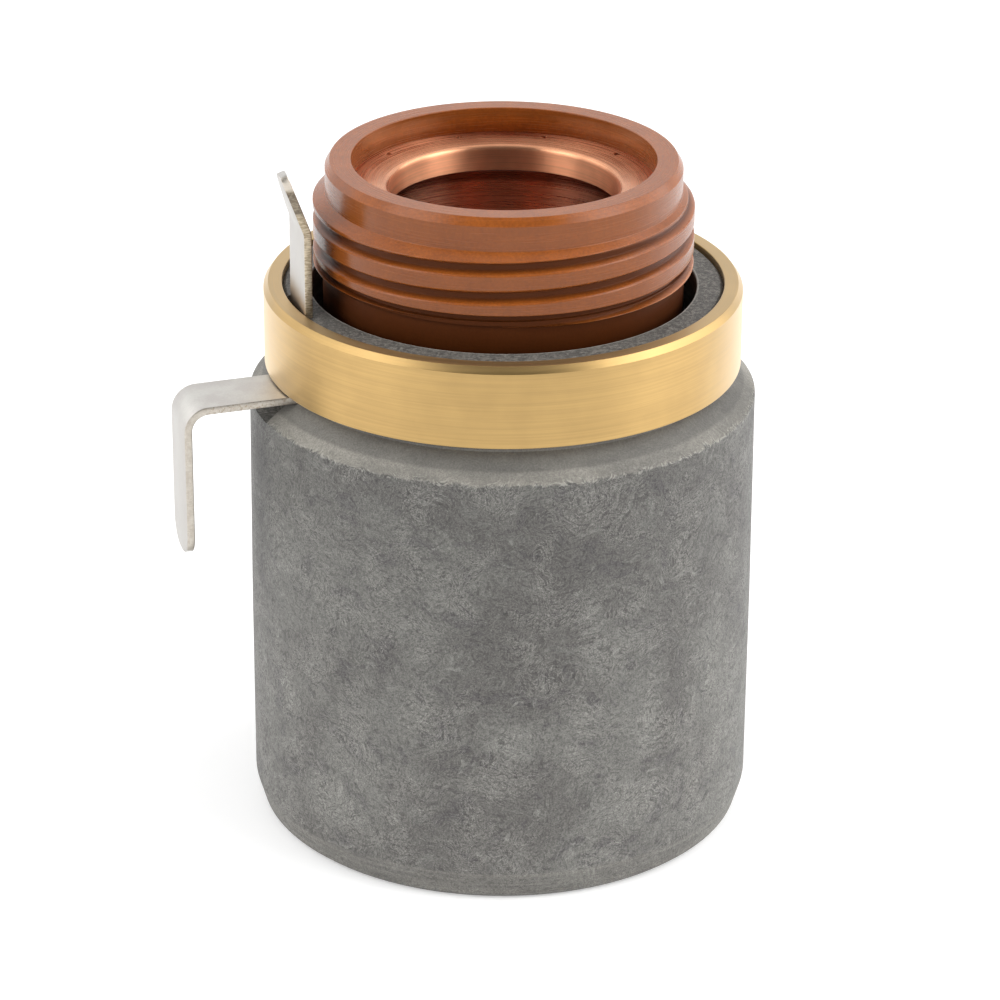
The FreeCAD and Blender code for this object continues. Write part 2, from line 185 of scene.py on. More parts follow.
def turned(name, corners, segments=SEGMENTS):
    """Solid of revolution about Z; the outline runs up the outside and down the inside."""
    outline = rounded_outline(corners)
    angle = np.arange(segments) * 2 * math.pi / segments
    radius, height = outline[:, 0], outline[:, 1]
    points = np.stack([
        np.cos(angle)[:, None] * radius[None, :],
        np.sin(angle)[:, None] * radius[None, :],
        np.broadcast_to(height, (segments, len(height))),
    ], axis=-1).reshape(-1, 3)
    return link_mesh(name, points, grid_faces(segments, len(outline)))


def box_cutter(low, high):
    points = [(x, y, z) for x in (low[0], high[0]) for y in (low[1], high[1]) for z in (low[2], high[2])]
    faces = [(0, 1, 3, 2), (4, 6, 7, 5), (0, 4, 5, 1), (2, 3, 7, 6), (0, 2, 6, 4), (1, 5, 7, 3)]
    return link_mesh("cutter", points, faces)


def rod_cutter(start, end, radius, sides=24):
    """Round rod between two points."""
    start, end = np.array(start, float), np.array(end, float)
    axis = (end - start) / np.linalg.norm(end - start)
    side = np.cross(axis, (1.0, 0.0, 0.0))
    side /= np.linalg.norm(side)
    other = np.cross(axis, side)
    points = []
    for centre in (start, end):
        for k in range(sides):
            angle = 2 * math.pi * k / sides
            points.append(centre + radius * (side * math.cos(angle) + other * math.sin(angle)))
    faces = [(k, (k + 1) % sides, sides + (k + 1) % sides, sides + k) for k in range(sides)]
    faces.append(tuple(reversed(range(sides))))
    faces.append(tuple(range(sides, 2 * sides)))
    return link_mesh("cutter", points, faces)


def cut_away(obj, cutters):
    """Cuts each cutter out of the object, bakes the result into its mesh and drops the cutters."""
    for cutter in cutters:
        cut = obj.modifiers.new("cut", "BOOLEAN")
        cut.operation = "DIFFERENCE"
        cut.solver = "EXACT"
        cut.object = cutter
    depsgraph = bpy.context.evaluated_depsgraph_get()
    mesh = bpy.data.meshes.new_from_object(obj.evaluated_get(depsgraph))
    obj.modifiers.clear()
    obj.data = mesh
    for cutter in cutters:
        bpy.data.objects.remove(cutter)
    mark_sharp(obj, 35)


def mark_sharp(obj, degrees):
    """Smooth shading with a sharp edge wherever two faces meet at more than this angle."""
    mesh = obj.data
    mesh.polygons.foreach_set("use_smooth", [True] * len(mesh.polygons))
    mesh.set_sharp_from_angle(angle=math.radians(degrees))


def groove_radius(angle, height):
    """Radius of the right-hand thread's groove at an azimuth and height; large on the crests."""
    offset = (height - THREAD_PHASE) / THREAD_PITCH - angle / (2 * math.pi)
    offset = (offset - np.round(offset)) * THREAD_PITCH
    beyond = np.maximum(np.abs(offset) - (GROOVE_WIDTH / 2 - THREAD_DEPTH / FLANK_SLOPE), 0.0)
    return CREST_RADIUS - THREAD_DEPTH + beyond * FLANK_SLOPE


def soft_minimum(a, b, width):
    """Smaller of two values, blended over a narrow width so that the crests are slightly rounded."""
    share = np.clip(0.5 + 0.5 * (b - a) / width, 0.0, 1.0)
    return b * (1 - share) + a * share - width * share * (1 - share)


# The five pieces

def make_shell():
    land = RING_BORE + 0.4
    bevel_top = SHOULDER_HEIGHT + BEVEL_SLOPE * (SHOULDER_RADIUS - land)
    shell = turned("shell", [
        (MOUTH_RADIUS, 0.0, 0.15),
        (16.6, 0.0, 0.12),
        (17.08, 0.4, 0.35),
        (SHELL_RADIUS, FOOT_TOP, 1.0),
        (SHELL_RADIUS, 16.0, 0.0),
        (SHOULDER_RADIUS, SHOULDER_HEIGHT, 0.14),
        (land, bevel_top, 0.05),
        (land, RING_SEAT, 0.0),
        (RING_BORE, RING_SEAT, 0.0),
        (RING_BORE, NECK_HEIGHT - NECK_CHAMFER, 0.05),
        (RING_BORE - NECK_CHAMFER, NECK_HEIGHT, 0.06),
        (GAP_RADIUS, NECK_HEIGHT, 0.1),
        (GAP_RADIUS, GAP_FLOOR, 0.1),
        (NECK_RADIUS, GAP_FLOOR, 0.0),
        (NECK_RADIUS, WEB_BOTTOM, 0.0),
        (SLEEVE_RADIUS, WEB_BOTTOM, 0.0),
        (SLEEVE_RADIUS, MOUTH_DEPTH, 0.1),
        (MOUTH_RADIUS, MOUTH_DEPTH, 0.1),
    ])
    slot = box_cutter((-SLOT_OUTER, -SLOT_HALF_WIDTH, SLOT_FLOOR),
                      (-SLOT_INNER, SLOT_HALF_WIDTH, RING_SEAT - 0.02))
    notch = box_cutter((-SLOT_OUTER, -STRIP_FRONT - NOTCH_GAP, NOTCH_FLOOR),
                       (-SLOT_INNER, STRIP_BACK + NOTCH_GAP, NECK_HEIGHT + 0.5))
    cut_away(shell, [slot, notch])
    return shell


def make_ring():
    return turned("ring", [
        (RING_BORE, RING_SEAT + 0.2, 0.0),
        (RING_BORE + 0.2, RING_SEAT, 0.03),
        (RING_RADIUS, RING_SEAT, 0.06),
        (RING_RADIUS, RING_TOP - 0.44, 0.05),
        (RING_RADIUS - 0.33, RING_TOP, 0.05),
        (RING_BORE, RING_TOP, 0.06),
    ])


def make_insulator():
    """Revolved nose whose outside is cut back by the helical groove, azimuth by azimuth."""
    outline = rounded_outline([
        (NOSE_RADIUS, 34.52, 0.0),
        (NECK_RADIUS - 0.01, 34.52, 0.0),
        (NECK_RADIUS - 0.01, 40.68, 0.05),
        (12.82, 40.5, 0.04),
        (CREST_RADIUS, 40.56, 0.04),
        (CREST_RADIUS, COLLAR_TOP, 0.05),
        (RELIEF_RADIUS, COLLAR_TOP + 0.1, 0.08),
        (RELIEF_RADIUS, RELIEF_TOP, 0.08),
        (CREST_RADIUS, RELIEF_TOP + 0.1, 0.05),
        (CREST_RADIUS, CREST_TOP, 0.05),
        (SPIGOT_RADIUS, SPIGOT_FOOT, 0.06),
        (SPIGOT_RADIUS, NOSE_TOP - 0.55, 0.05),
        (SPIGOT_RADIUS - 0.343, NOSE_TOP, 0.05),
        (LIP_RADIUS, NOSE_TOP, 0.06),
        (LIP_RADIUS, SEAT_FACE + 0.01, 0.0),
        (NOSE_RADIUS, SEAT_FACE + 0.01, 0.0),
    ], steps=4)
    # extra points where the groove passes
    columns, row_step, crest_rounding = 450, 0.058, 0.05
    dense = []
    for i, point in enumerate(outline):
        after = outline[(i + 1) % len(outline)]
        dense.append(point)
        threaded = min(point[0], after[0]) > 12.1 and 40.3 < min(point[1], after[1]) < 45.7
        pieces = int(np.linalg.norm(after - point) / row_step) if threaded else 1
        for k in range(1, pieces):
            dense.append(point + (after - point) * k / pieces)
    outline = np.array(dense)
    angle = np.arange(columns)[:, None] * 2 * math.pi / columns
    radius, height = outline[None, :, 0], outline[None, :, 1]
    uncut = np.broadcast_to(radius, (columns, len(outline)))
    cut = soft_minimum(uncut, groove_radius(angle, height), crest_rounding)
    radius = np.where((height > 39.6) & (radius > 12.3), cut, radius)
    points = np.stack([np.cos(angle) * radius, np.sin(angle) * radius,
                       np.broadcast_to(height, radius.shape)], axis=-1).reshape(-1, 3)
    return link_mesh("insulator", points, grid_faces(columns, len(outline)))


def cut_socket_thread(obj):
    """Moves the points of the rear bore outwards into a right-hand thread that fades out at both ends."""
    mesh = obj.data
    points = np.empty(len(mesh.vertices) * 3)
    mesh.vertices.foreach_get("co", points)
    points = points.reshape(-1, 3) / MM
    radius, height = np.hypot(points[:, 0], points[:, 1]), points[:, 2]
    wall = (np.abs(radius - CORE_RADIUS) < 0.02) & (height > SOCKET_FOOT - 0.05) & (height < SOCKET_TOP + 0.05)
    turns = height / SOCKET_PITCH - np.arctan2(points[:, 1], points[:, 0]) / (2 * math.pi)
    wave = np.abs(turns - np.round(turns)) * 2
    fade = np.clip(np.minimum(height - SOCKET_FOOT, SOCKET_TOP - height) / 1.2, 0.0, 1.0)
    depth = SOCKET_DEPTH * np.clip(1.15 * wave - 0.1, 0.0, 1.0) * fade
    grown = np.where(wall, (radius + depth) / np.maximum(radius, 1e-6), 1.0)
    points[:, :2] *= grown[:, None]
    mesh.vertices.foreach_set("co", (points * MM).ravel())
    mesh.update()


def make_seat():
    heights = np.arange(SOCKET_TOP - SOCKET_TURN_STEP, SOCKET_FOOT + 0.1, -SOCKET_TURN_STEP)
    wall = [(CORE_RADIUS, height, 0.0) for height in heights]
    seat = turned("seat", [
        (LEAD_IN_RADIUS, SLEEVE_FOOT, 0.1),
        (SLEEVE_RADIUS - FIT_GAP, SLEEVE_FOOT, 0.2),
        (SLEEVE_RADIUS - FIT_GAP, WEB_BOTTOM - FIT_GAP, 0.0),
        (NECK_RADIUS - FIT_GAP, WEB_BOTTOM - FIT_GAP, 0.0),
        (NECK_RADIUS - FIT_GAP, GAP_FLOOR - FIT_GAP, 0.0),
        (NOSE_RADIUS - 0.01, GAP_FLOOR - FIT_GAP, 0.0),
        (NOSE_RADIUS - 0.01, SEAT_FACE, 0.0),
        (LIP_RADIUS, SEAT_FACE, 0.0),
        (SEAT_BORE, SEAT_EDGE, 0.36),
        (SEAT_BORE, LAND_BOTTOM, 0.06),
        (CAVITY_RADIUS, CAVITY_TOP, 0.1),
        (CAVITY_RADIUS, CAVITY_FLOOR, 0.1),
        (CORE_RADIUS, SOCKET_TOP, 0.0),
        *wall,
        (CORE_RADIUS, SOCKET_FOOT, 0.0),
        (LEAD_IN_RADIUS, LEAD_IN_TOP, 0.1),
    ], segments=288)
    cutters = []
    for k in range(GAS_HOLES):
        angle = GAS_HOLE_START + 2 * math.pi * k / GAS_HOLES
        outward = np.array((math.cos(angle), math.sin(angle), 0.0))
        around = np.array((-math.sin(angle), math.cos(angle), 0.0))
        middle = GAS_HOLE_CIRCLE * outward + np.array((0.0, 0.0, SEAT_FACE))
        slant = np.array((0.0, 0.0, 1.0)) - 0.35 * around
        cutters.append(rod_cutter(middle - 2.72 * slant, middle + 0.6 * slant, GAS_HOLE_RADIUS))
    cut_away(seat, cutters)
    cut_socket_thread(seat)
    return seat


def bent_path(corners, step=0.4, arc_steps=10):
    """Points and tangents along a path of (reach, height, bend radius) corners."""
    points, tangents = [], []
    previous = np.array(corners[0][:2], float)
    for i in range(1, len(corners)):
        here = np.array(corners[i][:2], float)
        along = (here - previous) / np.linalg.norm(here - previous)
        if i + 1 < len(corners):
            onward = np.array(corners[i + 1][:2], float) - here
            onward /= np.linalg.norm(onward)
            turn = math.atan2(along[0] * onward[1] - along[1] * onward[0], along @ onward)
            radius = corners[i][2]
            cut = radius * math.tan(abs(turn) / 2)
        else:
            turn, radius, cut = 0.0, 0.0, 0.0
        straight = np.linalg.norm(here - previous) - cut
        count = max(2, int(straight / step))
        for k in range(count + 1):
            points.append(previous + along * straight * k / count)
            tangents.append(along)
        start = previous + along * straight
        if turn:
            side = np.array((-along[1], along[0])) * math.copysign(1.0, turn)
            centre = start + side * radius
            for k in range(1, arc_steps + 1):
                angle = turn * k / arc_steps
                spin = np.array(((math.cos(angle), -math.sin(angle)), (math.sin(angle), math.cos(angle))))
                previous = centre + spin @ (start - centre)
                if k < arc_steps:
                    points.append(previous)
                    tangents.append(spin @ along)
        else:
            previous = start
    return np.array(points), np.array(tangents)


def make_strip():
    """Folded sheet strip swept along its bent path, with a rounded leg end and a tapering flap."""
    half = STRIP_THICKNESS / 2
    leg, upright = LEG_REACH - half, UPRIGHT_REACH - half
    path, tangents = bent_path([
        (leg, LEG_END, 0.0),
        (leg, RUN_TOP_AT_LEG - half, OUTER_BEND),
        (upright, RUN_TOP_AT_NECK - half, INNER_BEND),
        (upright, FLAP_BEND, OUTER_BEND),
        (upright + FLAP_LENGTH * math.sin(FLAP_LEAN), FLAP_BEND + FLAP_LENGTH * math.cos(FLAP_LEAN), 0.0),
    ], step=0.25)
    gaps = np.linalg.norm(np.diff(path, axis=0), axis=1)
    keep = np.concatenate([[True], gaps > 1e-4])
    path, tangents = path[keep], tangents[keep]
    along = np.concatenate([[0.0], np.cumsum(np.linalg.norm(np.diff(path, axis=0), axis=1))])
    length = along[-1]

    def side_edges(at):
        """Far and near edge of the strip, measured towards -Y, at a distance from the leg's end."""
        inset = LEG_CORNER - math.sqrt(max(LEG_CORNER ** 2 - max(LEG_CORNER - at, 0.0) ** 2, 0.0))
        far, near = -STRIP_BACK + inset, STRIP_FRONT - inset
        left = length - at
        # the flap's far edge slopes in, its near corner is rounded
        far += float(np.interp(left, [0.0, 0.25, 0.8, 2.1, 3.5, 4.6], [3.45, 2.95, 2.4, 1.45, 0.4, 0.0]))
        tip = FLAP_TIP_CORNER
        near -= tip - math.sqrt(max(tip ** 2 - max(tip - left, 0.0) ** 2, 0.0))
        return far, near

    fine = np.unique(np.concatenate([
        along,
        LEG_CORNER * (1 - np.cos(np.linspace(0.0, math.pi / 2, 14))),
        length - FLAP_TIP_CORNER * (1 - np.cos(np.linspace(0.0, math.pi / 2, 8))),
    ]))
    fine = fine[np.concatenate([[True], np.diff(fine) > 1e-3])]
    edge = 0.07
    points = []
    for at in fine:
        u, z = np.interp(at, along, path[:, 0]), np.interp(at, along, path[:, 1])
        tangent = np.array((np.interp(at, along, tangents[:, 0]), np.interp(at, along, tangents[:, 1])))
        tangent /= np.linalg.norm(tangent)
        outward = np.array((tangent[1], -tangent[0]))
        far, near = side_edges(at)
        span = max((near - far) / 2, 0.02)
        middle = (near + far) / 2
        roll = min(edge, 0.5 * span)
        section = []
        for side, face in ((1, 1), (-1, 1), (-1, -1), (1, -1)):
            turns = (0.0, 0.5, 1.0)
            if side * face < 0:
                turns = (1.0, 0.5, 0.0)
            for share in turns:
                angle = share * math.pi / 2
                across = side * (span - roll + roll * math.cos(angle))
                depth = face * (half - edge + edge * math.sin(angle))
                section.append((across, depth))
        for across, depth in section:
            reach, height = u + outward[0] * depth, z + outward[1] * depth
            points.append((-reach, -(middle + across), height))
    rows = len(section)
    stations = len(fine)
    faces = []
    for i in range(stations - 1):
        for j in range(rows):
            k = (j + 1) % rows
            faces.append((i * rows + j, i * rows + k, (i + 1) * rows + k, (i + 1) * rows + j))
    faces.append(tuple(reversed(range(rows))))
    faces.append(tuple(range((stations - 1) * rows, stations * rows)))
    strip = link_mesh("strip", points, faces)
    mark_sharp(strip, 50)
    return strip


# Materials

class Shader:
    """Small helper that builds a node tree by calls instead of by hand."""

    def __init__(self, name):
        self.material = bpy.data.materials.new(name)
        self.material.use_nodes = True
        self.tree = self.material.node_tree
        self.surface = self.tree.nodes["Principled BSDF"]

    def set(self, socket, value):
        if isinstance(value, bpy.types.NodeSocket):
            self.tree.links.new(value, socket)
        else:
            socket.default_value = value

    def add(self, kind, settings=None, **inputs):
        node = self.tree.nodes.new(kind)
        for key, value in (settings or {}).items():
            setattr(node, key, value)
        for key, value in inputs.items():
            self.set(node.inputs[key.replace("_", " ")], value)
        return node

    def math(self, operation, first, second=0.0, clamp=False):
        node = self.add("ShaderNodeMath", {"operation": operation, "use_clamp": clamp})
        self.set(node.inputs[0], first)
        self.set(node.inputs[1], second)
        return node.outputs[0]

    def vector(self, operation, first, second):
        node = self.add("ShaderNodeVectorMath", {"operation": operation})
        self.set(node.inputs[0], first)
        self.set(node.inputs[1], second)
        return node.outputs[0]

    def place(self):
        """Point on the surface in millimetres."""
        return self.vector("MULTIPLY", self.add("ShaderNodeTexCoord").outputs["Object"], (1000.0,) * 3)

    def split(self, vector):
        node = self.add("ShaderNodeSeparateXYZ", Vector=vector)
        return node.outputs["X"], node.outputs["Y"], node.outputs["Z"]

    def noise(self, vector, scale, detail=3.0, roughness=0.55, distortion=0.0):
        node = self.add("ShaderNodeTexNoise", {"noise_dimensions": "3D"}, Vector=vector, Scale=scale,
                        Detail=detail, Roughness=roughness, Distortion=distortion)
        return node.outputs["Fac"]

    def ramp(self, value, low, high, to_low=0.0, to_high=1.0):
        node = self.add("ShaderNodeMapRange", {"clamp": True, "interpolation_type": "SMOOTHSTEP"})
        for index, item in enumerate((value, low, high, to_low, to_high)):
            self.set(node.inputs[index], item)
        return node.outputs[0]

    def mix(self, share, first, second, blend="MIX"):
        node = self.add("ShaderNodeMix", {"data_type": "RGBA", "blend_type": blend})
        self.set(node.inputs[0], share)
        self.set(node.inputs[6], first)
        self.set(node.inputs[7], second)
        return node.outputs[2]

    def bump(self, height, distance_mm, strength=1.0, normal=None):
        node = self.add("ShaderNodeBump", Height=height, Strength=strength, Distance=distance_mm * MM)
        if normal is not None:
            self.set(node.inputs["Normal"], normal)
        return node.outputs["Normal"]

    def drifted(self, place, scale, amount):
        """Point moved by a slow drift, so that streaks laid over it curl."""
        node = self.add("ShaderNodeTexNoise", {"noise_dimensions": "3D"},
                        Vector=place, Scale=scale, Detail=2.0)
        drift = self.vector("SUBTRACT", node.outputs["Color"], (0.5, 0.5, 0.5))
        return self.vector("ADD", place, self.vector("MULTIPLY", drift, (amount,) * 3))

    def cylinder(self, place):
        """Radius and height on the part, in millimetres."""
        x, y, z = self.split(place)
        radius = self.math("SQRT", self.math("ADD", self.math("MULTIPLY", x, x), self.math("MULTIPLY", y, y)))
        return radius, z

    def turning_lines(self, place, per_mm, spread=0.25, detail=2.0):
        """Fine lines round the axis: quick across radius and height, slow along the azimuth."""
        x, y, z = self.split(place)
        radius, z = self.cylinder(place)
        across = self.math("ADD", self.math("MULTIPLY", radius, per_mm),
                           self.math("MULTIPLY", z, per_mm * 1.3))
        node = self.add("ShaderNodeCombineXYZ", X=self.math("MULTIPLY", x, spread),
                        Y=self.math("MULTIPLY", y, spread), Z=across)
        return self.noise(node.outputs[0], 1.0, detail=detail, roughness=0.6)

    def vary(self, shade, value, amount, low=0.3, high=0.7):
        """Shade made darker and lighter by up to an amount, following a value."""
        dark, light = (1 - amount,) * 3 + (1.0,), (1 + amount,) * 3 + (1.0,)
        return self.mix(1.0, shade, self.mix(self.ramp(value, low, high), dark, light), "MULTIPLY")

    def thin_lines(self, value, width):
        """Thin curly lines where a value passes its middle."""
        return self.ramp(self.math("ABSOLUTE", self.math("SUBTRACT", value, 0.5)), 0.0, width, 1.0, 0.0)

    def turned_gloss(self, amount):
        """Highlights drawn out across turning lines that run round the axis."""
        tangent = self.add("ShaderNodeTangent", {"direction_type": "RADIAL", "axis": "Z"})
        self.set(self.surface.inputs["Tangent"], tangent.outputs[0])
        self.set(self.surface.inputs["Anisotropic"], amount)
        self.set(self.surface.inputs["Anisotropic Rotation"], 0.25)


def colour(red, green, blue):
    """Linear colour from eight-bit screen values."""
    def linear(value):
        share = value / 255
        return share / 12.92 if share <= 0.04045 else ((share + 0.055) / 1.055) ** 2.4
    return (linear(red), linear(green), linear(blue), 1.0)


def shell_composite():
    s = Shader("fibre_filled_composite")
    place = s.place()
    radius, z = s.cylinder(place)
    flow = s.drifted(place, 0.2, 9.0)
    cross = s.drifted(place, 0.33, 7.0)
    clouds = s.noise(place, 0.11, detail=4.0, roughness=0.6, distortion=0.8)
    patches = s.noise(s.vector("MULTIPLY", flow, (0.3, 0.3, 0.62)), 1.0, detail=6.0, roughness=0.68)
    smears = s.noise(s.vector("MULTIPLY", cross, (0.5, 0.5, 1.1)), 1.0, detail=6.0, roughness=0.7)
    fibres = s.noise(s.vector("MULTIPLY", flow, (2.0, 2.0, 7.0)), 1.0, detail=3.0, roughness=0.62)
    hairs = s.noise(s.vector("MULTIPLY", cross, (4.2, 4.2, 2.0)), 1.0, detail=3.0, roughness=0.62)
    grain = s.noise(place, 9.0, detail=2.0, roughness=0.8)
    shade = s.mix(s.ramp(clouds, 0.38, 0.62), colour(88, 86, 83), colour(103, 102, 98))
    shade = s.mix(s.ramp(patches, 0.54, 0.62, 0.0, 0.5), shade, colour(68, 65, 67))
    shade = s.mix(s.ramp(patches, 0.46, 0.36, 0.0, 0.3), shade, colour(118, 118, 114))
    shade = s.mix(s.ramp(smears, 0.57, 0.66, 0.0, 0.6), shade, colour(72, 70, 71))
    shade = s.mix(s.ramp(smears, 0.42, 0.34, 0.0, 0.5), shade, colour(130, 130, 125))
    shade = s.mix(s.math("MULTIPLY", s.thin_lines(smears, 0.012), 0.5), shade, colour(68, 66, 68))
    # the fibres show in some places and are smeared over in others
    shown = s.ramp(s.noise(place, 0.3, detail=3.0, distortion=0.6), 0.42, 0.62, 0.3, 1.0)
    pale = s.math("MULTIPLY", s.thin_lines(fibres, 0.03), s.math("MULTIPLY", shown, 0.5))
    shade = s.mix(pale, shade, colour(163, 161, 155))
    pale = s.math("MULTIPLY", s.thin_lines(hairs, 0.03), s.math("MULTIPLY", shown, 0.45))
    shade = s.mix(pale, shade, colour(163, 161, 155))
    fine = s.mix(shown, (0.5, 0.5, 0.5, 1.0), fibres)
    shade = s.vary(shade, fine, 0.2, 0.36, 0.64)
    shade = s.vary(shade, hairs, 0.16, 0.36, 0.64)
    shade = s.vary(shade, grain, 0.24, 0.34, 0.66)
    # painted light: the lower part is made a little paler, standing in for light bounced up from the floor
    shade = s.vary(shade, z, 0.1, 30.0, 2.0)
    # the bevel, neck and foot were turned after moulding: smoother, with lines round the axis
    lines = s.turning_lines(place, 2.4, 0.1, 3.0)
    machined = s.mix(s.ramp(lines, 0.34, 0.66), colour(106, 104, 99), colour(140, 137, 129))
    machined = s.vary(machined, grain, 0.2)
    machined = s.vary(machined, hairs, 0.12)
    # painted shade: a darker band at the top of the bevel, under the ring's overhang
    machined = s.mix(s.ramp(z, 31.85, 32.05, 0.0, 0.5), machined, colour(75, 73, 70))
    # the turned part's lower edge is ragged, with pale chips that also serve as a painted highlight along the
    # arris
    ragged = s.math("ADD", z, s.math("MULTIPLY", s.math("SUBTRACT", smears, 0.5), 1.1))
    above = s.ramp(ragged, 31.22, 31.36)
    below = s.ramp(z, 2.35, 2.1, 0.0, 0.4)
    shade = s.mix(s.math("MAXIMUM", above, below), shade, machined)
    chips_and_arris_highlight = s.math("MULTIPLY", s.ramp(ragged, 31.1, 31.25), s.ramp(ragged, 31.5, 31.35))
    chips_and_arris_highlight = s.math("MULTIPLY", chips_and_arris_highlight, s.ramp(hairs, 0.5, 0.62))
    shade = s.mix(s.math("MULTIPLY", chips_and_arris_highlight, 0.7), shade, colour(160, 158, 150))
    # the neck's face is coarser and darker, with pale grains
    face = s.ramp(z, 38.3, 38.6)
    coarse = s.noise(place, 4.2, detail=4.0, roughness=0.75)
    neck = s.mix(s.ramp(coarse, 0.4, 0.68), colour(80, 78, 75), colour(136, 133, 126))
    shade = s.mix(face, shade, neck)
    # painted highlight along the inner edge, where its chamfer would catch the light
    painted_edge_highlight = s.math("MULTIPLY", s.ramp(radius, 13.44, 13.36), s.ramp(z, 38.75, 38.85))
    shade = s.mix(s.math("MULTIPLY", painted_edge_highlight, s.ramp(coarse, 0.3, 0.5, 0.4, 0.9)), shade, colour(172, 168, 160))
    s.set(s.surface.inputs["Base Color"], shade)
    s.set(s.surface.inputs["Roughness"], s.ramp(hairs, 0.35, 0.65, 0.62, 0.5))
    s.set(s.surface.inputs["Specular IOR Level"], 0.4)
    relief = s.math("ADD", s.math("MULTIPLY", hairs, 0.7), s.math("MULTIPLY", fibres, 0.6))
    relief = s.math("ADD", relief, s.math("MULTIPLY", s.math("MULTIPLY", coarse, face), 2.0))
    normal = s.bump(relief, 0.05, 0.6)
    normal = s.bump(s.math("MULTIPLY", lines, above), 0.03, 0.6, normal)
    s.set(s.surface.inputs["Normal"], normal)
    return s.material


def ring_brass():
    s = Shader("brushed_brass")
    place = s.place()
    lines = s.turning_lines(place, 6.0, 0.1)
    bands = s.turning_lines(place, 1.6, 0.04)
    cloud = s.noise(place, 0.25, detail=3.0)
    shade = s.mix(s.ramp(cloud, 0.35, 0.65), colour(184, 153, 101), colour(191, 159, 105))
    shade = s.vary(shade, lines, 0.06)
    shade = s.vary(shade, bands, 0.025)
    # painted sheen: paler where it is seen at a low angle
    facing = s.add("ShaderNodeLayerWeight", Blend=0.35).outputs["Facing"]
    shade = s.mix(s.ramp(facing, 0.3, 0.85, 0.0, 0.7), shade, colour(245, 224, 189))
    s.set(s.surface.inputs["Base Color"], shade)
    s.set(s.surface.inputs["Metallic"], 1.0)
    s.set(s.surface.inputs["Roughness"], s.ramp(lines, 0.3, 0.7, 0.4, 0.46))
    s.turned_gloss(0.4)
    s.set(s.surface.inputs["Normal"], s.bump(lines, 0.002, 0.5))
    return s.material


def seat_copper():
    s = Shader("turned_copper")
    place = s.place()
    radius, z = s.cylinder(place)
    lines = s.turning_lines(place, 7.0, 0.12)
    streaks = s.noise(s.vector("MULTIPLY", place, (0.5, 0.5, 8.0)), 1.0, detail=4.0, roughness=0.65)
    cloud = s.noise(place, 0.4, detail=3.0)
    shade = s.mix(s.ramp(cloud, 0.35, 0.65), colour(227, 161, 123), colour(240, 173, 133))
    # the cavity is redder than the turned face, with brushed streaks; a painted shadow darkens the undercut's
    # wall just below the land
    inside = s.ramp(z, 44.3, 43.9)
    shade = s.mix(inside, shade, colour(208, 146, 118))
    shade = s.vary(shade, lines, 0.1)
    streaks = s.mix(inside, (0.5, 0.5, 0.5, 1.0), s.ramp(streaks, 0.32, 0.68))
    shade = s.vary(shade, streaks, 0.12, 0.0, 1.0)
    painted_land_shadow = s.math("MULTIPLY", inside, s.ramp(z, 42.5, 42.9))
    shade = s.mix(s.math("MULTIPLY", painted_land_shadow, 0.75), shade, colour(96, 46, 34))
    s.set(s.surface.inputs["Base Color"], shade)
    s.set(s.surface.inputs["Metallic"], 1.0)
    # the bore's land was cut with a coarser feed than the face
    land = s.math("MULTIPLY", s.ramp(z, 45.9, 45.6), s.math("SUBTRACT", 1.0, inside))
    s.set(s.surface.inputs["Roughness"], s.math("ADD", s.ramp(lines, 0.3, 0.7, 0.24, 0.32),
                                                s.math("MULTIPLY", land, 0.2)))
    s.turned_gloss(0.97)
    s.set(s.surface.inputs["Normal"], s.bump(lines, 0.0015, 0.5))
    return s.material


def insulator_polymer():
    s = Shader("turned_polymer")
    place = s.place()
    radius, z = s.cylinder(place)
    lines = s.turning_lines(place, 6.0, 0.2)
    cloud = s.noise(place, 0.5, detail=4.0)
    specks = s.noise(place, 6.5, detail=2.0, roughness=0.7)
    streaks = s.noise(s.vector("MULTIPLY", place, (5.0, 5.0, 1.2)), 1.0, detail=3.0, roughness=0.6)
    shade = s.mix(s.ramp(cloud, 0.35, 0.65), colour(136, 71, 21), colour(145, 77, 24))
    shade = s.vary(shade, specks, 0.15)
    shade = s.vary(shade, streaks, 0.06)
    shade = s.vary(shade, lines, 0.05)
    # painted shade: the upright walls are darkened against the bevels, as they take less of the light
    normal = s.split(s.add("ShaderNodeTexCoord").outputs["Normal"])[2]
    wall = s.ramp(s.math("ABSOLUTE", normal), 0.35, 0.15)
    shade = s.mix(s.math("MULTIPLY", wall, 0.5), shade, colour(112, 62, 28))
    # painted shade in the thread's root and the neck below it, which are also made rougher and less glossy
    depth = s.math("MULTIPLY", s.ramp(radius, 12.96, 12.5), s.ramp(z, 45.2, 45.0))
    recess_painted_shade = s.math("MULTIPLY", depth, s.ramp(radius, 11.6, 11.8))
    shade = s.mix(s.math("MULTIPLY", recess_painted_shade, 0.8), shade, colour(58, 27, 13))
    # painted highlight along the thin collar's edge
    edge = s.math("MULTIPLY", s.ramp(z, 40.5, 40.58), s.ramp(z, 40.9, 40.82))
    edge = s.math("MULTIPLY", edge, s.ramp(radius, 12.88, 12.95))
    shade = s.mix(edge, shade, colour(164, 98, 54))
    s.set(s.surface.inputs["Base Color"], shade)
    s.set(s.surface.inputs["Roughness"], s.math("ADD", s.ramp(lines, 0.3, 0.7, 0.22, 0.29),
                                                s.math("MULTIPLY", recess_painted_shade, 0.15)))
    facing = s.add("ShaderNodeLayerWeight", Blend=0.5).outputs["Facing"]
    s.set(s.surface.inputs["Specular IOR Level"], s.math("SUBTRACT", s.ramp(facing, 0.3, 0.6, 0.38, 0.62),
                                                         s.math("MULTIPLY", recess_painted_shade, 0.3)))
    s.set(s.surface.inputs["IOR"], 1.5)
    s.set(s.surface.inputs["Subsurface Weight"], 0.05)
    s.set(s.surface.inputs["Subsurface Radius"], (1.0, 0.35, 0.15))
    s.set(s.surface.inputs["Subsurface Scale"], 0.0005)
    s.set(s.surface.inputs["Normal"], s.bump(lines, 0.004, 0.5))
    return s.material


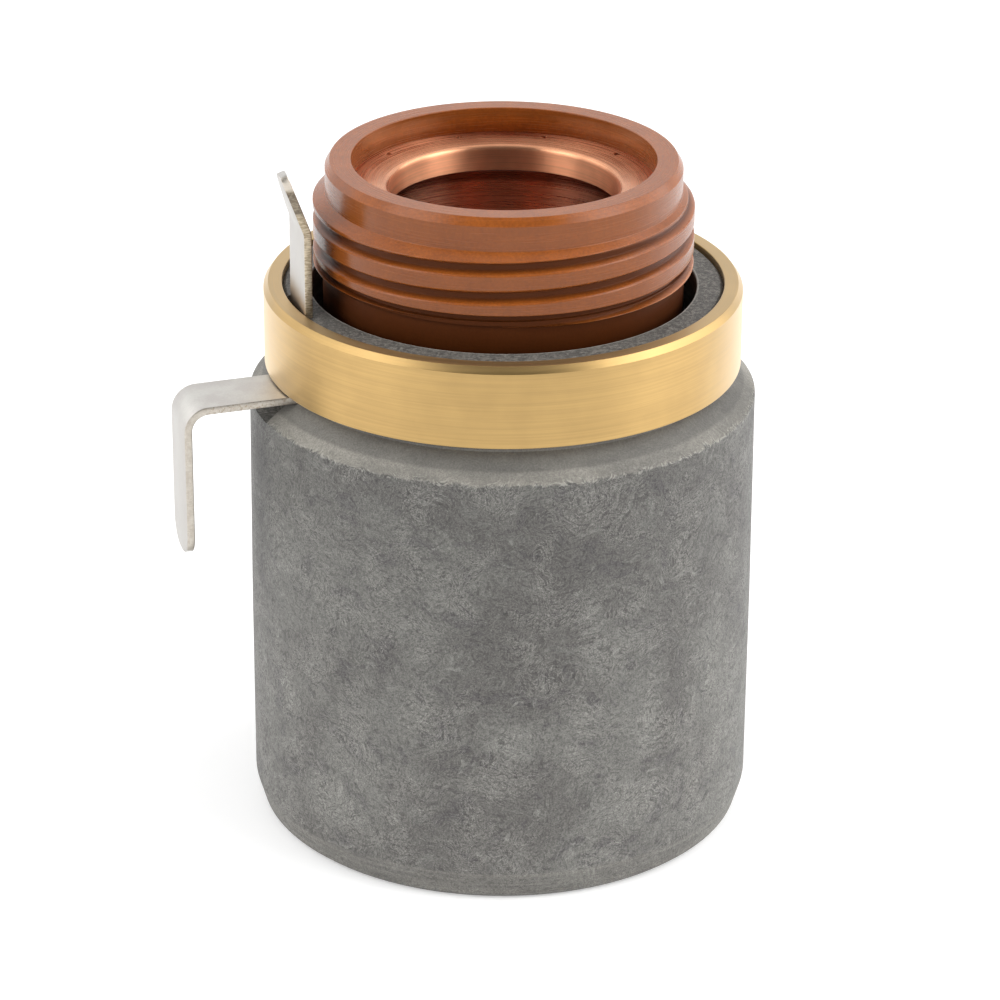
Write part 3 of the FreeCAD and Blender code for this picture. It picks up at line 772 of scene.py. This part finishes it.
def plated_sheet():
    s = Shader("plated_sheet")
    place = s.place()
    grain = s.noise(s.vector("MULTIPLY", place, (7.0, 7.0, 3.0)), 1.0, detail=2.0)
    cloud = s.noise(place, 0.6, detail=3.0)
    shade = s.mix(s.ramp(cloud, 0.35, 0.65), colour(206, 202, 198), colour(214, 212, 207))
    # painted shade makes the upright faces duller; a painted reflection of the brass ring turns the foot of
    # the upright brown
    normal = s.split(s.add("ShaderNodeTexCoord").outputs["Normal"])[2]
    wall = s.ramp(s.math("ABSOLUTE", normal), 0.8, 0.3)
    shade = s.mix(s.math("MULTIPLY", wall, 0.75), shade, colour(185, 182, 178))
    z = s.split(place)[2]
    painted_ring_reflection = s.math("MULTIPLY", s.ramp(z, 41.0, 39.0), s.ramp(z, 34.0, 36.0))
    shade = s.mix(s.math("MULTIPLY", painted_ring_reflection, 0.7), shade, colour(148, 124, 98))
    shade = s.vary(shade, grain, 0.04)
    s.set(s.surface.inputs["Base Color"], shade)
    s.set(s.surface.inputs["Metallic"], 1.0)
    s.set(s.surface.inputs["Roughness"], s.ramp(grain, 0.3, 0.7, 0.42, 0.5))
    s.set(s.surface.inputs["Normal"], s.bump(grain, 0.003, 0.5))
    return s.material


def sheared_edge():
    s = Shader("sheared_edge")
    place = s.place()
    x, y, z = s.split(place)
    grain = s.noise(s.vector("MULTIPLY", place, (2.0, 2.0, 9.0)), 1.0, detail=3.0, roughness=0.7)
    wear = s.noise(place, 2.2, detail=4.0, roughness=0.7)
    pits = s.noise(place, 5.5, detail=3.0, roughness=0.7)
    plated = s.mix(s.ramp(wear, 0.35, 0.65), colour(186, 178, 167), colour(200, 194, 184))
    rough = s.math("MULTIPLY", s.ramp(pits, 0.52, 0.64, 0.0, 0.6), s.ramp(x, -22.2, -21.2, 0.25, 1.0))
    plated = s.mix(rough, plated, colour(148, 128, 102))
    bare = s.mix(s.ramp(grain, 0.38, 0.62), colour(156, 141, 118), colour(204, 191, 168))
    # the edge is bare and brassy on the upright and the flap; near the tip it is smoother, with a dark painted
    # reflection, and a painted highlight pales the very top
    shade = s.mix(s.ramp(z, 34.5, 36.5), plated, bare)
    tip = s.math("MULTIPLY", s.ramp(z, 45.9, 46.6), s.ramp(z, 48.3, 47.9))
    dark = s.math("MULTIPLY", tip, s.ramp(wear, 0.42, 0.58, 1.0, 0.7))
    shade = s.mix(s.math("MULTIPLY", dark, 0.85), shade, colour(88, 81, 74))
    shade = s.mix(s.ramp(z, 47.9, 48.3), shade, colour(206, 198, 186))
    shade = s.vary(shade, grain, 0.06)
    s.set(s.surface.inputs["Base Color"], shade)
    s.set(s.surface.inputs["Metallic"], 1.0)
    s.set(s.surface.inputs["Roughness"], s.math("SUBTRACT", s.ramp(grain, 0.3, 0.7, 0.38, 0.5),
                                                s.math("MULTIPLY", tip, 0.1)))
    relief = s.math("ADD", grain, rough)
    s.set(s.surface.inputs["Normal"], s.bump(relief, 0.008, 0.7))
    return s.material


shell, ring, insulator, seat, strip = make_shell(), make_ring(), make_insulator(), make_seat(), make_strip()
for obj, material in ((shell, shell_composite()), (ring, ring_brass()), (insulator, insulator_polymer()),
                      (seat, seat_copper()), (strip, plated_sheet())):
    obj.data.materials.clear()
    obj.data.materials.append(material)
strip.data.materials.append(sheared_edge())
# the strip's two long edges face along Y
for polygon in strip.data.polygons:
    if abs(polygon.normal.y) > 0.7:
        polygon.material_index = 1

for obj, node, slot_name in (
    (shell, "outer_shell", "shell_composite"),
    (ring, "contact_ring", "ring_brass"),
    (insulator, "nose_insulator", "insulator_polymer"),
    (seat, "nozzle_seat", "seat_copper"),
    (strip, "contact_strip", "strip_plated"),
):
    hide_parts(node)
    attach(obj, "root")


# Floor, light and camera

def background_rays(nodes, links):
    """One where the camera, a reflection or a transmission looks, zero for the light on the object."""
    rays = nodes.new("ShaderNodeLightPath")
    total = rays.outputs["Is Camera Ray"]
    for name in ("Is Glossy Ray", "Is Transmission Ray"):
        either = nodes.new("ShaderNodeMath")
        either.operation = "MAXIMUM"
        links.new(total, either.inputs[0])
        links.new(rays.outputs[name], either.inputs[1])
        total = either.outputs[0]
    return total


def make_floor(top_up):
    """Pale floor that takes the object's shadow and is lifted to white where it is looked at."""
    reach = 3000.0
    corners = [(-reach, -reach, 0), (reach, -reach, 0), (reach, reach, 0), (-reach, reach, 0)]
    floor = link_mesh("floor", corners, [(0, 1, 2, 3)])
    s = Shader("floor_paper")
    s.set(s.surface.inputs["Base Color"], (0.82, 0.82, 0.82, 1.0))
    s.set(s.surface.inputs["Roughness"], 1.0)
    s.set(s.surface.inputs["Specular IOR Level"], 0.0)
    s.set(s.surface.inputs["Emission Color"], (1.0, 1.0, 1.0, 1.0))
    seen = background_rays(s.tree.nodes, s.tree.links)
    s.set(s.surface.inputs["Emission Strength"], s.math("MULTIPLY", seen, top_up))
    floor.data.materials.append(s.material)


def add_softbox(name, place, width, height, power, aim=(0.0, 0.0, 0.025)):
    data = bpy.data.lights.new(name, "AREA")
    data.shape = "RECTANGLE"
    data.size, data.size_y = width, height
    data.energy = power
    lamp = bpy.data.objects.new(name, data)
    bpy.context.scene.collection.objects.link(lamp)
    lamp.location = place
    direction = np.array(aim) - np.array(place)
    lamp.rotation_euler = Vector(direction).to_track_quat("-Z", "Y").to_euler()


def make_world(fill, overhead):
    """White studio: an even fill for the surfaces, white where the camera looks past the floor.

    Reflections see a white sweep beyond and beside the object, and a dimmer room above and before it.
    """
    world = bpy.data.worlds.new("studio")
    bpy.context.scene.world = world
    world.use_nodes = True
    nodes, links = world.node_tree.nodes, world.node_tree.links
    direction = nodes.new("ShaderNodeTexCoord").outputs["Generated"]
    toward = nodes.new("ShaderNodeVectorMath")
    toward.operation = "DOT_PRODUCT"
    links.new(direction, toward.inputs[0])
    toward.inputs[1].default_value = (0.94 * math.sin(CAMERA_YAW), 0.94 * math.cos(CAMERA_YAW), -0.34)
    sweep = nodes.new("ShaderNodeMapRange")
    sweep.interpolation_type = "SMOOTHSTEP"
    links.new(toward.outputs["Value"], sweep.inputs[0])
    for index, value in enumerate((-0.55, -0.1, overhead, 1.0), 1):
        sweep.inputs[index].default_value = value
    rays = nodes.new("ShaderNodeLightPath")
    levels = [fill]
    for name, level in (
        ("Is Glossy Ray", sweep.outputs[0]),
        ("Is Transmission Ray", 1.0),
        ("Is Camera Ray", 1.0),
    ):
        pick = nodes.new("ShaderNodeMix")
        pick.data_type = "FLOAT"
        links.new(rays.outputs[name], pick.inputs[0])
        for index, value in ((2, levels[-1]), (3, level)):
            if isinstance(value, float):
                pick.inputs[index].default_value = value
            else:
                links.new(value, pick.inputs[index])
        levels.append(pick.outputs[0])
    background = nodes["Background"]
    background.inputs["Color"].default_value = (1.0, 1.0, 1.0, 1.0)
    links.new(levels[-1], background.inputs["Strength"])


def make_camera():
    """Camera at the photograph's viewing angle."""
    pitch, yaw, roll = CAMERA_PITCH, CAMERA_YAW, CAMERA_ROLL
    forward = np.array((math.sin(yaw) * math.cos(pitch), math.cos(yaw) * math.cos(pitch), -math.sin(pitch)))
    right = np.array((math.cos(yaw), -math.sin(yaw), 0.0))
    up = np.cross(right, forward)
    right_rolled = right * math.cos(roll) + up * math.sin(roll)
    up_rolled = up * math.cos(roll) - right * math.sin(roll)
    data = bpy.data.cameras.new("camera")
    data.sensor_width = 36.0
    data.lens = CAMERA_LENS
    data.clip_start, data.clip_end = 0.01, 20.0
    camera = bpy.data.objects.new("camera", data)
    bpy.context.scene.collection.objects.link(camera)
    matrix = np.identity(4)
    matrix[:3, 0], matrix[:3, 1], matrix[:3, 2] = right_rolled, up_rolled, -forward
    matrix[:3, 3] = np.array(CAMERA_PLACE) * MM
    camera.matrix_world = Matrix(matrix.tolist())
    bpy.context.scene.camera = camera


def from_camera(sideways, away, height):
    """Place given to the right of, beyond and above the object as the camera sees it."""
    return (sideways * math.cos(CAMERA_YAW) + away * math.sin(CAMERA_YAW),
            -sideways * math.sin(CAMERA_YAW) + away * math.cos(CAMERA_YAW), height)


make_floor(0.3)
make_world(0.73, 0.15)
# name, place in metres, width and height in metres, power in watts
for name, place, width, height, power in (
    ("top_light", from_camera(0.0, -0.15, 1.0), 0.9, 0.7, 0.4),
    ("left_light", from_camera(-0.68, -0.36, 0.42), 0.5, 0.9, 3.4),
    ("right_light", from_camera(0.7, -0.3, 0.42), 0.5, 0.9, 3.6),
    ("far_left_light", from_camera(-0.75, 0.1, 0.42), 0.9, 0.9, 1.4),
    ("far_right_light", from_camera(0.75, 0.1, 0.42), 0.9, 0.9, 4.2),
):
    add_softbox(name, place, width, height, power)
make_camera()

scene = bpy.context.scene
scene.view_settings.view_transform = "Standard"
